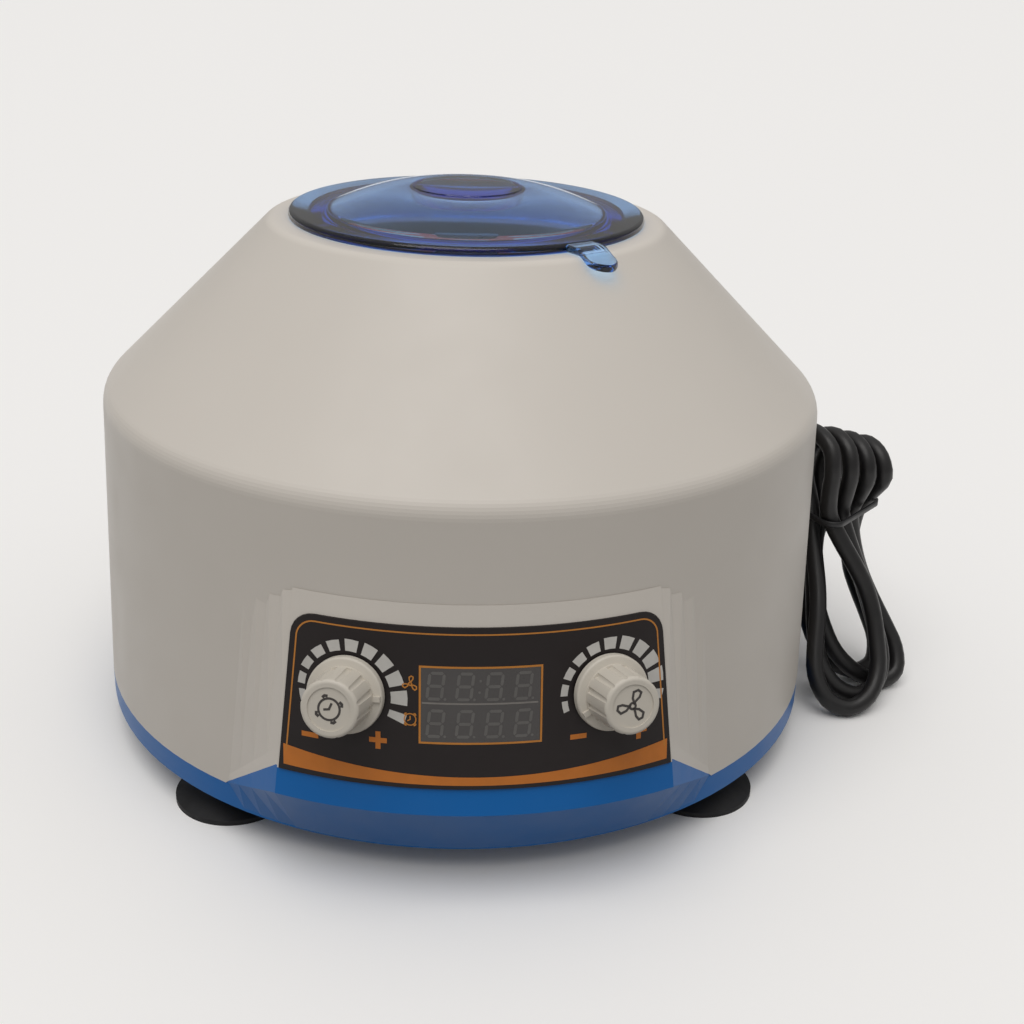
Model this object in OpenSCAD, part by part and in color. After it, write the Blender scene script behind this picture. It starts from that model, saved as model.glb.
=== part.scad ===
// Bench centrifuge: blue tray, white drum with a sloping front, lift-off lid and six-place rotor

/* [Body] */
// Radius of the drum and the tray where they meet
body_r = 130; // [128:0.5:133]
// Height of the rubber feet
foot_h = 12; // [10:0.5:14]
// Height of the tray's rim
rim_h = 8; // [7:0.5:10]
// Thickness of the tray's floor and walls
tray_t = 3; // [2.5:0.1:3.5]
// Height of the drum wall from the rim to the shoulder
wall_h = 104; // [102:0.5:108]
// How far the drum wall leans in over its height
wall_draft = 4; // [3:0.5:5]
// Radius of the rounding at the shoulder
shoulder_round = 8.6; // [5:0.2:11]
// Height of the cone above the shoulder
cone_h = 54.7; // [53:0.1:57]
// Radius of the cone's upper edge
collar_r = 70.5; // [69:0.5:73]
// Radius where the collar turns flat
collar_flat_r = 64.5; // [63.5:0.5:66]
// Height of the flat collar above the cone
collar_h = 2.6; // [2:0.1:3.2]
// Thickness of the housing's moulded walls
wall_t = 2.6; // [2.2:0.1:3]
// Radius of the opening on top
opening_r = 53.6; // [52:0.2:55]
// Depth of the guide ring that hangs under the opening
neck_h = 12; // [11:0.5:14]

/* [Front] */
// Height of the chin's edge line above the table
chin_z = 32.3; // [30:0.5:34]
// How far the chin stands out past the drum
chin_out = 11.8; // [10:0.2:13]
// Height where the sloping front runs into the drum
front_top_z = 96.6; // [94:0.5:99]
// Half of the angle that the sloping front spans
front_half = 25.5; // [24.5:0.5:27]
// Half of the angle between the creases at the rim
crease_low = 37.3; // [36:0.5:39]
// Half of the angle between the creases at the top
crease_high = 33.6; // [33:0.5:35]
// Height of the joint between tray and housing under the panel
joint_z = 40.4; // [38:0.5:42]

/* [Panel] */
// Height of the panel's top edge above the table
panel_top_z = 88.7; // [87:0.5:90]
// Thickness of the panel sheet
panel_t = 0.7; // [0.5:0.1:1]
// Depth of the pocket that the panel lies in
pocket_d = 0.5; // [0.3:0.1:0.6]
// Radius of the panel's upper corners
panel_round = 7.5; // [4:0.5:10]
// Width of the display window
window_w = 35.6; // [33:0.2:37]
// Lower edge of the display window above the table
window_low_z = 54.9; // [53:0.5:56]
// Upper edge of the display window above the table
window_high_z = 77.1; // [76:0.5:79]
// Distance of each knob from the panel's middle
knob_x = 38.7; // [37.5:0.5:40]
// Height of the knobs' centres on the sloping front
knob_z = 67; // [65:0.5:69]

/* [Knobs] */
// Radius of the knob's skirt
skirt_r = 11.7; // [11:0.1:12.5]
// Height of the knob's skirt
skirt_h = 2.5; // [2:0.1:3]
// Radius of the grip at its foot
grip_r = 9.2; // [8.8:0.1:9.6]
// Height of the knob above the panel
knob_h = 16; // [15:0.5:18]
// Number of flutes round the grip
flutes = 12; // [8:1:16]
// Radius of the knob shafts
knob_shaft_r = 3; // [2.5:0.5:3]
// Angle of the time knob's pointer, counted from the right
time_angle = 4; // [-40:1:220]
// Angle of the speed knob's pointer, counted from the right
speed_angle = 206; // [-40:1:220]

/* [Lid] */
// Radius of the lid's flange
flange_r = 61.2; // [60:0.2:63]
// Thickness of the lid's flange
flange_t = 3; // [2.5:0.1:3.5]
// Depth of the lid's plug below the flange
plug_d = 9; // [7:0.5:10]
// Width of the plug's wall
plug_w = 5.5; // [4.5:0.5:6]
// Rise of the lid's crown above the flange
crown_h = 7.2; // [6:0.2:8]
// Radius of the flat boss at the crown's middle
boss_r = 19; // [16:0.5:22]
// Thickness of the lid's crown
crown_t = 2.6; // [2.2:0.1:3]
// Angle of the lifting tab from the front, towards the right
tab_angle = 33; // [0:1:90]
// Width of the lifting tab
tab_w = 11; // [9:0.5:13]
// How far the lifting tab reaches past the flange
tab_reach = 15.6; // [14:0.2:17]

/* [Rotor] */
// Widest radius of the rotor
rotor_r = 91; // [89:0.5:92]
// Radius of the rotor's top face
rotor_top_r = 52; // [50:0.5:54]
// Height of the rotor's lower face above the table
rotor_low_z = 89; // [88:0.5:91]
// Height of the rotor's top face above the table
rotor_top_z = 161; // [159:0.5:162]
// Number of tube places
places = 6; // [6:1:6]
// Lean of the tubes from upright
tube_lean = 35; // [33:0.5:36]
// Radius at which the tube axes cross the rotor's top face
tube_ring_r = 35; // [34:0.5:37]
// Inner radius of the tube sleeves
sleeve_r = 10.5; // [9.5:0.1:11]
// Wall of the tube sleeves
sleeve_t = 1.2; // [1:0.1:1.5]
// Inner depth of the tube sleeves
sleeve_d = 72; // [68:1:74]
// Radius of the motor shaft
shaft_r = 4; // [3.5:0.5:5]

/* [Drive] */
// Radius of the motor's body
motor_r = 37; // [34:0.5:40]
// Height of the motor's body
motor_h = 41; // [38:0.5:43]
// Length of the motor plate
plate_l = 130; // [124:1:134]
// Width of the motor plate
plate_w = 84; // [80:1:88]
// Thickness of the motor plate
plate_t = 2.5; // [2:0.5:3]
// Height of the rubber dampers
damper_h = 8; // [7:0.5:9]
// Radius of the rubber dampers
damper_r = 8; // [7:0.5:9]
// Radius of the bowl's wall
bowl_r = 101; // [100:0.5:103]
// Thickness of the bowl's wall
bowl_t = 2.2; // [1.8:0.1:2.4]
// Height of the bowl's floor above the table
bowl_z = 80; // [79:0.5:81]
// Height of the bowl where its wall turns in
bowl_turn_z = 132; // [130:0.5:134]

/* [Feet] */
// Radius of the circle that the feet stand on
foot_ring_r = 112; // [108:0.5:113]
// Radius of a foot at the table
foot_r = 19.5; // [18:0.5:21]
// Radius of a foot at the tray
foot_top_r = 9; // [8:0.5:10]

/* [Back] */
// Height of the power switch above the table
switch_z = 52; // [48:0.5:58]
// Width of the power switch's bezel
switch_w = 15; // [14:0.5:16]
// Height of the power switch's bezel
switch_h = 22; // [21:0.5:24]
// Tilt of the rocker to each side of level
rocker_tilt = 9; // [7:0.5:10]
// Height of the cord gland above the table
gland_z = 46; // [46:0.5:46]
// Angle of the cord gland from the front, towards the right
gland_angle = 150; // [150:1:150]
// Length of the tapered strain relief
gland_l = 28; // [28:1:28]

/* [Cord] */
// Diameter of the cord
cord_d = 6.6; // [6.6:0.1:6.6]
// Number of loops in the hank
loops = 4; // [4:1:4]
// Rings in each loop of the hank
loop_rings = 24; // [24:1:24]

/* [Fit] */
// Clearance between fixed pieces that slip together
fit_gap = 0.3; // [0.2:0.05:0.4]
// Clearance round a turning shaft
run_gap = 0.05; // [0.03:0.01:0.08]

/* [Hidden] */
$fn = 64;

blue = "#2f74b5";
white = "#ddd8d0";
black = "#1c1b1d";
steel = "#a9adb0";
green = "#2f6b45";
rubber = "#232325";

rim_z = foot_h + rim_h;
floor_z = foot_h + tray_t;
shoulder_z = rim_z + wall_h;
wall_top_r = body_r - wall_draft;
cone_z = shoulder_z + cone_h;
top_z = cone_z + collar_h;
chin_r = body_r + chin_out;

// Radius of the drum wall at height z
function drum_r(z) = body_r - wall_draft * (z - rim_z) / wall_h;

front_top_r = drum_r(front_top_z);
front_tilt = atan((chin_r - front_top_r) / (front_top_z - chin_z));

// Radius of the sloping front at height z
function front_r(z) = chin_r - (z - chin_z) * tan(front_tilt);

// Angle of the sloping front's point at distance x from the middle and height z
function front_angle(x, z) = asin(x / front_r(z));

// Half of the angle between the creases at height z
function crease_half(z) = crease_low + (crease_high - crease_low) * (z - rim_z) / (front_top_z - rim_z);

// Point at radius r, height z and angle a from the front, towards the right
function at(r, a, z) = [r * sin(a), -r * cos(a), z];

function unit(v) = v / norm(v);

function flatten(list) = [for (part = list) each part];

// Arc of radius r that rounds the corner p between the edges to a and b
function corner(a, p, b, r, steps = 6) =
    let (
        u = unit(a - p),
        v = unit(b - p),
        half = acos(u * v) / 2,
        centre = p + unit(u + v) * r / sin(half),
        start = p + u * r / tan(half) - centre,
        end = p + v * r / tan(half) - centre,
        from = atan2(start.y, start.x),
        turn = (atan2(end.y, end.x) - from + 540) % 360 - 180
    )
    [for (i = [0 : steps]) centre + r * [cos(from + turn * i / steps), sin(from + turn * i / steps)]];

// Outline through corners given as [x, y, rounding]
function rounded(corners) =
    let (n = len(corners), p = [for (c = corners) [c.x, c.y]])
    flatten([for (i = [0 : n - 1]) corners[i].z == 0 ? [p[i]]
        : corner(p[(i + n - 1) % n], p[i], p[(i + 1) % n], corners[i].z)]);

// Places children on the sloping front at angle a and height z, with +Z pointing out of it
module on_front(a, z)
    rotate([0, 0, a])
        translate([0, -front_r(z), z])
            rotate([90 - front_tilt, 0, 0])
                children();

// Places children on the drum wall at angle a and height z, with +Z pointing out of it
module on_drum(a, z)
    rotate([0, 0, a])
        translate([0, -drum_r(z), z])
            rotate([90, 0, 0])
                children();

// Turned body from an r, z outline, spanning the angle half to each side of the front
module turned_sector(outline, half)
    rotate([0, 0, -90 - half])
        rotate_extrude(angle = 2 * half)
            polygon(outline);

module both_sides() {
    children();
    mirror([1, 0, 0])
        children();
}

// Slope angles and inner corners of the housing's wall
cone_run = (wall_top_r - collar_r) / cone_h;
cone_bend = atan(cone_run);
collar_corner_r = collar_r - collar_h * cone_run;
inner_shoulder_z = shoulder_z - wall_t * tan(cone_bend / 2);
inner_collar_r = collar_corner_r - wall_t * tan((90 - cone_bend) / 2);
neck_r = opening_r + 2;

// Tray lip that locates the housing
lip_h = 6;
lip_t = 2.4;
lip_r = drum_r(rim_z + lip_h) - wall_t - fit_gap;
lip_end = crease_low + 1.5;
pillar_r = 5;
pillar_ring_r = lip_r - pillar_r + 1;
pillar_top_z = 56;
screw_r = 2;
screw_hole_r = screw_r + fit_gap / 2;
screw_head_r = 3.6;
screw_head_h = 2.4;
pillar_angles = [65, 115, 245, 295];

// Height where the chin starts to flare, and sizes of bodies that are cut away later
flare_z = foot_h + 0.3;
core_r = 100;
far = 400;

// Heights where the flank's middle line leaves the corner edge and reaches the crease
bend_z = joint_z + 7;
crease_bend_z = rim_z + 2.6;
front_end_z = front_top_z + 2.4;
flank_sink = 0.15;

// Section of the front's flank at share t of the way from the corner edge to the crease
function flank_section(t, inset) =
    let (
        turn = inset / body_r * 180 / PI,
        half = front_half - turn - 0.3,
        top = front_end_z,
        low_half = half + (crease_low - front_half) * t,
        skin = inset + flank_sink,
        chin_corner = at(chin_r - skin, half, chin_z),
        bend_corner = at(front_r(bend_z) - skin, half, bend_z),
        top_corner = at(front_r(top) - skin, half, top),
        crease_foot = at(drum_r(rim_z) - skin - 0.2, crease_low - turn, rim_z),
        crease_next = at(drum_r(crease_bend_z) - skin - 0.2, crease_half(crease_bend_z) - turn, crease_bend_z),
        crease_top = at(drum_r(top) - skin - 0.2, crease_half(top) - turn, top)
    )
    [
        at(core_r, low_half, flare_z),
        at(body_r - skin, low_half, flare_z),
        chin_corner + (crease_foot - chin_corner) * t,
        bend_corner + (crease_next - bend_corner) * t,
        top_corner + (crease_top - top_corner) * t,
        at(core_r, low_half, top)
    ];

// Section just inside the sloping front, which the flank grows out of
function root_section(inset) =
    let (
        half = front_half - inset / body_r * 180 / PI - 3,
        top = front_end_z,
        skin = inset + flank_sink + 0.1
    )
    [
        at(core_r, half, flare_z),
        at(body_r - skin, half, flare_z),
        at(chin_r - skin, half, chin_z),
        at(front_r(bend_z) - skin, half, bend_z),
        at(front_r(top) - skin, half, top),
        at(core_r, half, top)
    ];

// Closed body through a row of sections with equally many points
module loft(sections) {
    n = len(sections[0]);
    last = len(sections) - 1;
    sides = [for (s = [0 : last - 1], i = [0 : n - 1])
        let (a = s * n + i, b = s * n + (i + 1) % n)
        each [[a, b, b + n], [a, b + n, a + n]]];
    start = [for (i = [1 : n - 2]) [0, i + 1, i]];
    end = [for (i = [1 : n - 2]) [last * n, last * n + i, last * n + i + 1]];
    polyhedron(flatten(sections), concat(sides, start, end));
}

// Whole bulge of the front, set in by an inset, from the tray's underside to above the slope
module front_bulge(inset = 0) {
    top = front_end_z;
    steps = 4;
    turned_sector([
        [core_r, flare_z],
        [body_r - inset, flare_z],
        [chin_r - inset, chin_z],
        [front_r(top) - inset, top],
        [core_r, top]
    ], front_half - inset / body_r * 180 / PI);
    both_sides()
        loft(concat(
            [root_section(inset)],
            [for (i = [0 : steps]) flank_section(i / steps, inset)]
        ));
}

// Space in front of the drum that belongs to the tray, seen from the front
module tray_side() {
    low_x = body_r * sin(crease_low);
    edge_x = front_r(joint_z) * sin(front_half) + 0.4;
    rotate([90, 0, 0])
        translate([0, 0, 60])
            linear_extrude(far)
                polygon([
                    [-low_x, foot_h - 1],
                    [low_x, foot_h - 1],
                    [low_x, rim_z],
                    [edge_x, joint_z],
                    [-edge_x, joint_z],
                    [-low_x, rim_z]
                ]);
}

// Layer of the sloping front between two heights over its surface, cut by an outline seen from the front
module front_skin(inner, outer, corners) {
    intersection() {
        turned_sector([
            [front_r(foot_h) + inner, foot_h],
            [front_r(foot_h) + outer, foot_h],
            [front_r(front_top_z) + outer, front_top_z],
            [front_r(front_top_z) + inner, front_top_z]
        ], front_half);
        rotate([90, 0, 0])
            linear_extrude(far)
                polygon(corners);
    }
}

function window_outline(margin) = [
    [-window_w / 2 - margin, window_low_z - margin],
    [window_w / 2 + margin, window_low_z - margin],
    [window_w / 2 + margin, window_high_z + margin],
    [-window_w / 2 - margin, window_high_z + margin]
];

function panel_outline(margin) =
    let (
        low = joint_z + margin,
        high = panel_top_z,
        side = front_half - margin / 2,
        low_x = front_r(low) * sin(side),
        high_x = front_r(high) * sin(side)
    )
    rounded([[-low_x, low, 0], [low_x, low, 0], [high_x, high, panel_round], [-high_x, high, panel_round]]);

knob_turn = front_angle(knob_x, knob_z);

module on_knob(side)
    on_front(side * knob_turn, knob_z)
        children();

// Pots and their mounting
bushing_r = 3.5;
bushing_l = 6;
pot_r = 8;
pot_h = 9;
nut_r = 5.7;
nut_t = 2.2;
nut_room_r = 7.5;
nut_room_h = 3.4;
knob_lift = 1.2;

// Board behind the front
board_w = 50;
board_l = 46;
board_t = 1.6;
board_depth = 14;
stud_x = 20;
stud_y = 18;
stud_r = 3;
window_mid_z = (window_low_z + window_high_z) / 2;
stud_sag = stud_x * stud_x / (2 * front_r(knob_z));

module at_board_corners()
    for (x = [-stud_x, stud_x], y = [-stud_y, stud_y])
        on_front(0, knob_z)
            translate([x, y, 0])
                children();

// Power switch and gland
switch_body_w = switch_w - 2;
switch_body_h = switch_h - 2;
bezel_t = 2;
spot_d = 0.5;
rocker_w = switch_w - 6;
rocker_r = (switch_h - 4) / 2 - 0.4;
rocker_half = 30;
pivot_depth = 3;
gland_r = 5.5;
gland_flange_r = 9;

// Drum, cone and collar of the housing as one outline from the rim up, with walls of one thickness
function housing_outline() = rounded([
    [body_r, rim_z, 0],
    [wall_top_r, shoulder_z, shoulder_round],
    [collar_corner_r, top_z, 5],
    [opening_r, top_z, 0.8],
    [opening_r, top_z - neck_h, 0],
    [neck_r, top_z - neck_h, 0],
    [neck_r, top_z - wall_t, 0],
    [inner_collar_r, top_z - wall_t, 0],
    [wall_top_r - wall_t, inner_shoulder_z, shoulder_round - wall_t],
    [body_r - wall_t, rim_z, 0]
]);

module at_pillars()
    for (a = pillar_angles)
        rotate([0, 0, a])
            translate([0, -pillar_ring_r, 0])
                children();

foot_x = foot_ring_r * sin(45);
foot_boss_r = 5;
foot_boss_h = 6;
damper_x = 54;
damper_y = 31;
post_ring_r = 82;
post_r = 5;
plate_z = floor_z + damper_h;
motor_z = plate_z + plate_t;
motor_boss_r = 12;
motor_boss_h = 5.5;
motor_screw_ring_r = 28;
bore_r = shaft_r + run_gap;
shaft_collar_r = 8;
shaft_collar_z = motor_z + motor_h + motor_boss_h + 0.5;
bowl_hole_r = 16;
bowl_neck_z = top_z - neck_h + 2;
bowl_neck_r = neck_r + fit_gap + bowl_t;
power_board_x = -45;
power_board_y = 79;
power_board_w = 48;
power_board_l = 36;
standoff_h = 5;
vent_w = 4;
vent_l = 44;

module at_feet()
    for (x = [-foot_x, foot_x], y = [-foot_x, foot_x])
        translate([x, y, 0])
            children();

module at_dampers()
    for (x = [-damper_x, damper_x], y = [-damper_y, damper_y])
        translate([x, y, 0])
            children();

module at_posts()
    for (a = [0 : 90 : 270])
        rotate([0, 0, a])
            translate([post_ring_r, 0, 0])
                children();

module at_power_corners()
    for (x = [-1, 1], y = [-1, 1])
        translate([
            power_board_x + x * (power_board_w / 2 - 4),
            power_board_y + y * (power_board_l / 2 - 4),
            0
        ])
            children();

// Pan-head screw with its head below the origin and its shank rising from it
module screw(length, r = screw_r) {
    translate([0, 0, -screw_head_h])
        difference() {
            cylinder(h = screw_head_h, r = screw_head_r);
            translate([0, 0, -1])
                cylinder(h = 2.2, r = 1.6, $fn = 6);
        }
    translate([0, 0, -0.2])
        cylinder(h = length + 0.2, r = r);
}

module base_tray() {
    color(blue)
        difference() {
            union() {
                difference() {
                    union() {
                        translate([0, 0, foot_h])
                            cylinder(h = rim_h, r = body_r, $fn = 180);
                        intersection() {
                            front_bulge();
                            tray_side();
                        }
                    }
                    translate([0, 0, floor_z])
                        cylinder(h = far, r = body_r - tray_t, $fn = 180);
                    intersection() {
                        front_bulge(tray_t);
                        translate([-far / 2, -far / 2, floor_z])
                            cube(far);
                    }
                }
                rotate([0, 0, lip_end - 90])
                    rotate_extrude(angle = 360 - 2 * lip_end, $fn = 180)
                        translate([lip_r - lip_t, floor_z - 1])
                            square([lip_t, rim_z + lip_h - floor_z + 0.6]);
                at_pillars()
                    translate([0, 0, floor_z - 1])
                        cylinder(h = rim_z + lip_h - floor_z + 1, r = pillar_r - 1.4);
                at_feet()
                    translate([0, 0, floor_z - 1])
                        cylinder(h = foot_boss_h + 1, r = foot_boss_r);
                at_power_corners()
                    translate([0, 0, floor_z - 1])
                        cylinder(h = standoff_h + 1, r = 3);
            }
            at_pillars() {
                translate([0, 0, foot_h - 1])
                    cylinder(h = far, r = screw_hole_r);
                translate([0, 0, foot_h - 1])
                    cylinder(h = screw_head_h + 1.4, r = screw_head_r + fit_gap);
            }
            at_feet()
                translate([0, 0, foot_h - 1])
                    cylinder(h = tray_t + foot_boss_h, r = screw_hole_r);
            at_dampers()
                translate([0, 0, foot_h - 1])
                    cylinder(h = far, r = screw_hole_r);
            for (i = [-3 : 3])
                translate([i * 3 * vent_w, 0, foot_h + tray_t / 2])
                    cube([vent_w, vent_l, 2 * tray_t], center = true);
        }
}

module housing() {
    color(white)
        difference() {
            union() {
                difference() {
                    union() {
                        rotate_extrude($fn = 180)
                            polygon(housing_outline());
                        difference() {
                            front_bulge();
                            cylinder(h = far, r = drum_r(rim_z) - wall_t, $fn = 180);
                        }
                    }
                    front_bulge(wall_t);
                    tray_side();
                }
                at_pillars()
                    translate([0, 0, rim_z + lip_h])
                        cylinder(h = pillar_top_z - rim_z - lip_h, r = pillar_r);
                at_board_corners()
                    translate([0, 0, -board_depth])
                        cylinder(h = board_depth - stud_sag - wall_t / 2, r = stud_r);
            }
            at_pillars()
                translate([0, 0, rim_z + lip_h - 1])
                    cylinder(h = 15, r = screw_hole_r);
            at_board_corners()
                translate([0, 0, -board_depth - 1])
                    cylinder(h = 8, r = 1.2);
            rotate([90, 0, 0])
                translate([0, 0, core_r])
                    linear_extrude(far)
                        polygon(window_outline(fit_gap / 2));
            for (side = [-1, 1])
                on_knob(side)
                    translate([0, 0, -10])
                        cylinder(h = 20, r = bushing_r + run_gap);
            on_drum(180, switch_z) {
                translate([-switch_w / 2 - fit_gap, -switch_h / 2 - fit_gap, -spot_d])
                    cube([switch_w + 2 * fit_gap, switch_h + 2 * fit_gap, 10]);
                translate([-switch_body_w / 2 - fit_gap, -switch_body_h / 2 - fit_gap, -10])
                    cube([switch_body_w + 2 * fit_gap, switch_body_h + 2 * fit_gap, 20]);
            }
            on_drum(gland_angle, gland_z) {
                translate([0, 0, -10])
                    cylinder(h = 20, r = gland_r + run_gap);
                translate([0, 0, -spot_d])
                    cylinder(h = 10, r = gland_flange_r + fit_gap);
            }
        }
}

module control_panel() {
    color(black)
        difference() {
            front_skin(run_gap, panel_t, panel_outline(0.4));
            rotate([90, 0, 0])
                translate([0, 0, core_r])
                    linear_extrude(far)
                        polygon(window_outline(fit_gap / 2));
            for (side = [-1, 1])
                on_knob(side)
                    translate([0, 0, -2])
                        cylinder(h = 6, r = nut_room_r - 1);
        }
}

module display_window() {
    color("#4b4544")
        front_skin(-wall_t, panel_t, window_outline(0));
}

module display_module() {
    mid = (window_mid_z - knob_z) / cos(front_tilt);
    color("#2b2b2d")
        on_front(0, knob_z)
            difference() {
                translate([-17, mid - 10.5, -board_depth])
                    cube([34, 21, board_depth - wall_t - 1.6]);
                for (row = [-1, 1], i = [0 : 3])
                    translate([-14.6 + i * 7.6, mid + row * 5 - 3.6, -wall_t - 2])
                        cube([5.4, 7.2, 1]);
            }
}

module control_board() {
    color(green)
        on_front(0, knob_z)
            difference() {
                translate([-board_w / 2, -board_l / 2, -board_depth - board_t])
                    cube([board_w, board_l, board_t]);
                for (x = [-stud_x, stud_x], y = [-stud_y, stud_y])
                    translate([x, y, -board_depth - 2 * board_t])
                        cylinder(h = 3 * board_t, r = 1.2);
            }
    color(black)
        on_front(0, knob_z)
            for (y = [-9, 4])
                translate([-6, y, -board_depth - board_t - 2.5])
                    cube([12, 7, 2.6]);
}

module board_screws() {
    color(steel)
        at_board_corners()
            translate([0, 0, -board_depth - board_t]) {
                translate([0, 0, -1.6])
                    cylinder(h = 1.6, r = 2.2);
                translate([0, 0, -0.1])
                    cylinder(h = 7, r = 1);
            }
}

module pot_body() {
    difference() {
        union() {
            translate([0, 0, -wall_t - fit_gap - pot_h])
                cylinder(h = pot_h, r = pot_r);
            translate([0, 0, -wall_t - fit_gap - 0.1])
                cylinder(h = bushing_l + 0.1, r = bushing_r);
        }
        translate([0, 0, -wall_t - pot_h + 2])
            cylinder(h = 30, r = knob_shaft_r + run_gap);
    }
    for (x = [-4, 0, 4])
        translate([x - 0.6, -pot_r - 5, -wall_t - fit_gap - pot_h + 1])
            cube([1.2, 6, 0.8]);
}

module time_pot() {
    color(steel)
        on_knob(-1)
            pot_body();
}

module speed_pot() {
    color(steel)
        on_knob(1)
            pot_body();
}

module pot_nuts() {
    color(steel)
        for (side = [-1, 1])
            on_knob(side)
                difference() {
                    cylinder(h = nut_t, r = nut_r, $fn = 6);
                    translate([0, 0, -1])
                        cylinder(h = nut_t + 2, r = bushing_r + run_gap);
                }
}

shaft_end = knob_lift + nut_room_h + 9;

module pot_shaft() {
    translate([0, 0, -wall_t - pot_h + 2 + fit_gap])
        cylinder(h = shaft_end + wall_t + pot_h - 2 - fit_gap, r = knob_shaft_r);
}

module time_shaft() {
    color(steel)
        on_knob(-1)
            pot_shaft();
}

module speed_shaft() {
    color(steel)
        on_knob(1)
            pot_shaft();
}

grip_top_r = grip_r - 0.5;
knob_round = 1.2;

// Fluted push-on knob with its pointer at an angle counted from the right
module knob(pointer_angle) {
    flute_r = 1.1;
    translate([0, 0, knob_lift])
        difference() {
            union() {
                rotate_extrude()
                    polygon(rounded([
                        [0, 0, 0],
                        [skirt_r, 0, 0],
                        [skirt_r, skirt_h, 0.8],
                        [grip_r, skirt_h + 0.4, 0],
                        [grip_top_r, knob_h, knob_round],
                        [0, knob_h, 0]
                    ]));
                rotate([0, 0, pointer_angle])
                    translate([grip_r - 1, -0.8, 1])
                        cube([skirt_r - grip_r + 0.6, 1.6, skirt_h + 0.2]);
            }
            for (i = [0 : flutes - 1])
                rotate([0, 0, pointer_angle + (i + 0.5) * 360 / flutes])
                    translate([grip_r + 0.35, 0, skirt_h + 1.2])
                        cylinder(h = knob_h, r = flute_r);
            translate([0, 0, knob_h - 0.4])
                cylinder(h = 1, r = grip_top_r - 2.2);
            translate([0, 0, -1])
                cylinder(h = nut_room_h + 1, r = nut_room_r);
            translate([0, 0, -1])
                cylinder(h = shaft_end - knob_lift + 1.1, r = knob_shaft_r + run_gap / 2);
        }
}

module time_knob() {
    color(white)
        on_knob(-1)
            knob(time_angle);
}

module speed_knob() {
    color(white)
        on_knob(1)
            knob(speed_angle);
}

crown_r = opening_r - fit_gap - plug_w;
crown_top_z = top_z + flange_t + crown_h;

// Height of the lid's crown over radius r
function crown_z(r) = top_z + flange_t + crown_h * sin(90 * (crown_r - r) / (crown_r - boss_r));

module lid() {
    plug_r = opening_r - fit_gap;
    tip_r = flange_r + tab_reach;
    drop = 3.4;
    steps = 8;
    color("#1f5fc4", 0.6) {
        rotate_extrude($fn = 180)
            polygon(concat(
                rounded([
                    [plug_r, top_z - plug_d, 0.8],
                    [plug_r, top_z, 0],
                    [flange_r, top_z, 0.8],
                    [flange_r, top_z + flange_t, 1.6],
                    [crown_r, top_z + flange_t, 0]
                ]),
                [for (i = [1 : steps])
                    let (r = crown_r + (boss_r - crown_r) * i / steps)
                    [r, crown_z(r)]],
                [[boss_r, crown_top_z + 0.4], [0, crown_top_z + 0.4], [0, crown_top_z - crown_t]],
                [for (i = [steps : -1 : 0])
                    let (r = crown_r + (boss_r - crown_r) * i / steps)
                    [r - 0.4, crown_z(r) - crown_t]],
                [[crown_r, top_z], [crown_r, top_z - plug_d]]
            ));
        rotate([0, 0, tab_angle - 90])
            intersection() {
                rotate([90, 0, 0])
                    translate([0, 0, -tab_w / 2])
                        linear_extrude(tab_w)
                            polygon([
                                [flange_r - 3, top_z + 0.3],
                                [collar_flat_r + 3.5, top_z + 0.3],
                                [collar_r + 2, top_z + 0.3 - drop * 0.75],
                                [tip_r, top_z - drop],
                                [tip_r, top_z - drop + 2.4],
                                [collar_r + 2, top_z + 2.7 - drop * 0.75],
                                [collar_flat_r + 3.5, top_z + flange_t - 0.3],
                                [flange_r - 3, top_z + flange_t - 0.3]
                            ]);
                hull() {
                    translate([flange_r - 10, -tab_w / 2, top_z - 20])
                        cube([1, tab_w, 40]);
                    translate([tip_r - tab_w / 2, 0, top_z - 20])
                        cylinder(h = 40, r = tab_w / 2, $fn = 32);
                }
            }
    }
}

bowl_bend = atan((bowl_r - bowl_neck_r) / (bowl_neck_z - bowl_turn_z));

module bowl() {
    fold = bowl_t * tan(bowl_bend / 2);
    color(steel)
        difference() {
            rotate_extrude($fn = 180)
                polygon(rounded([
                    [bowl_hole_r, bowl_z, 0],
                    [bowl_r, bowl_z, 6],
                    [bowl_r, bowl_turn_z, 6],
                    [bowl_neck_r, bowl_neck_z, 0],
                    [bowl_neck_r, top_z - wall_t, 0],
                    [bowl_neck_r - bowl_t, top_z - wall_t, 0],
                    [bowl_neck_r - bowl_t, bowl_neck_z - fold, 0],
                    [bowl_r - bowl_t, bowl_turn_z - fold, 6 - bowl_t],
                    [bowl_r - bowl_t, bowl_z + bowl_t, 6 - bowl_t],
                    [bowl_hole_r, bowl_z + bowl_t, 0]
                ]));
            at_posts()
                translate([0, 0, bowl_z - 1])
                    cylinder(h = bowl_t + 2, r = screw_hole_r);
        }
}

module bowl_posts() {
    color(steel)
        at_posts()
            translate([0, 0, floor_z])
                difference() {
                    cylinder(h = bowl_z - floor_z, r = post_r);
                    translate([0, 0, bowl_z - floor_z - 10])
                        cylinder(h = 11, r = screw_hole_r);
                }
}

module bowl_screws() {
    color(steel)
        at_posts()
            translate([0, 0, bowl_z + bowl_t])
                rotate([180, 0, 0])
                    screw(9);
}

// Places children at a tube place, with +Z along the tube's axis towards its mouth
module at_place(i)
    rotate([0, 0, (i + 0.5) * 360 / places])
        translate([tube_ring_r, 0, rotor_top_z])
            rotate([0, -tube_lean, 0])
                children();

rotor_edge_z = rotor_top_z - (rotor_r - rotor_top_r) / tan(tube_lean);
sleeve_hole_r = sleeve_r + sleeve_t + run_gap;
hub_r = 13;
nut_grip_r = 11;
nut_h = 10;

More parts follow.
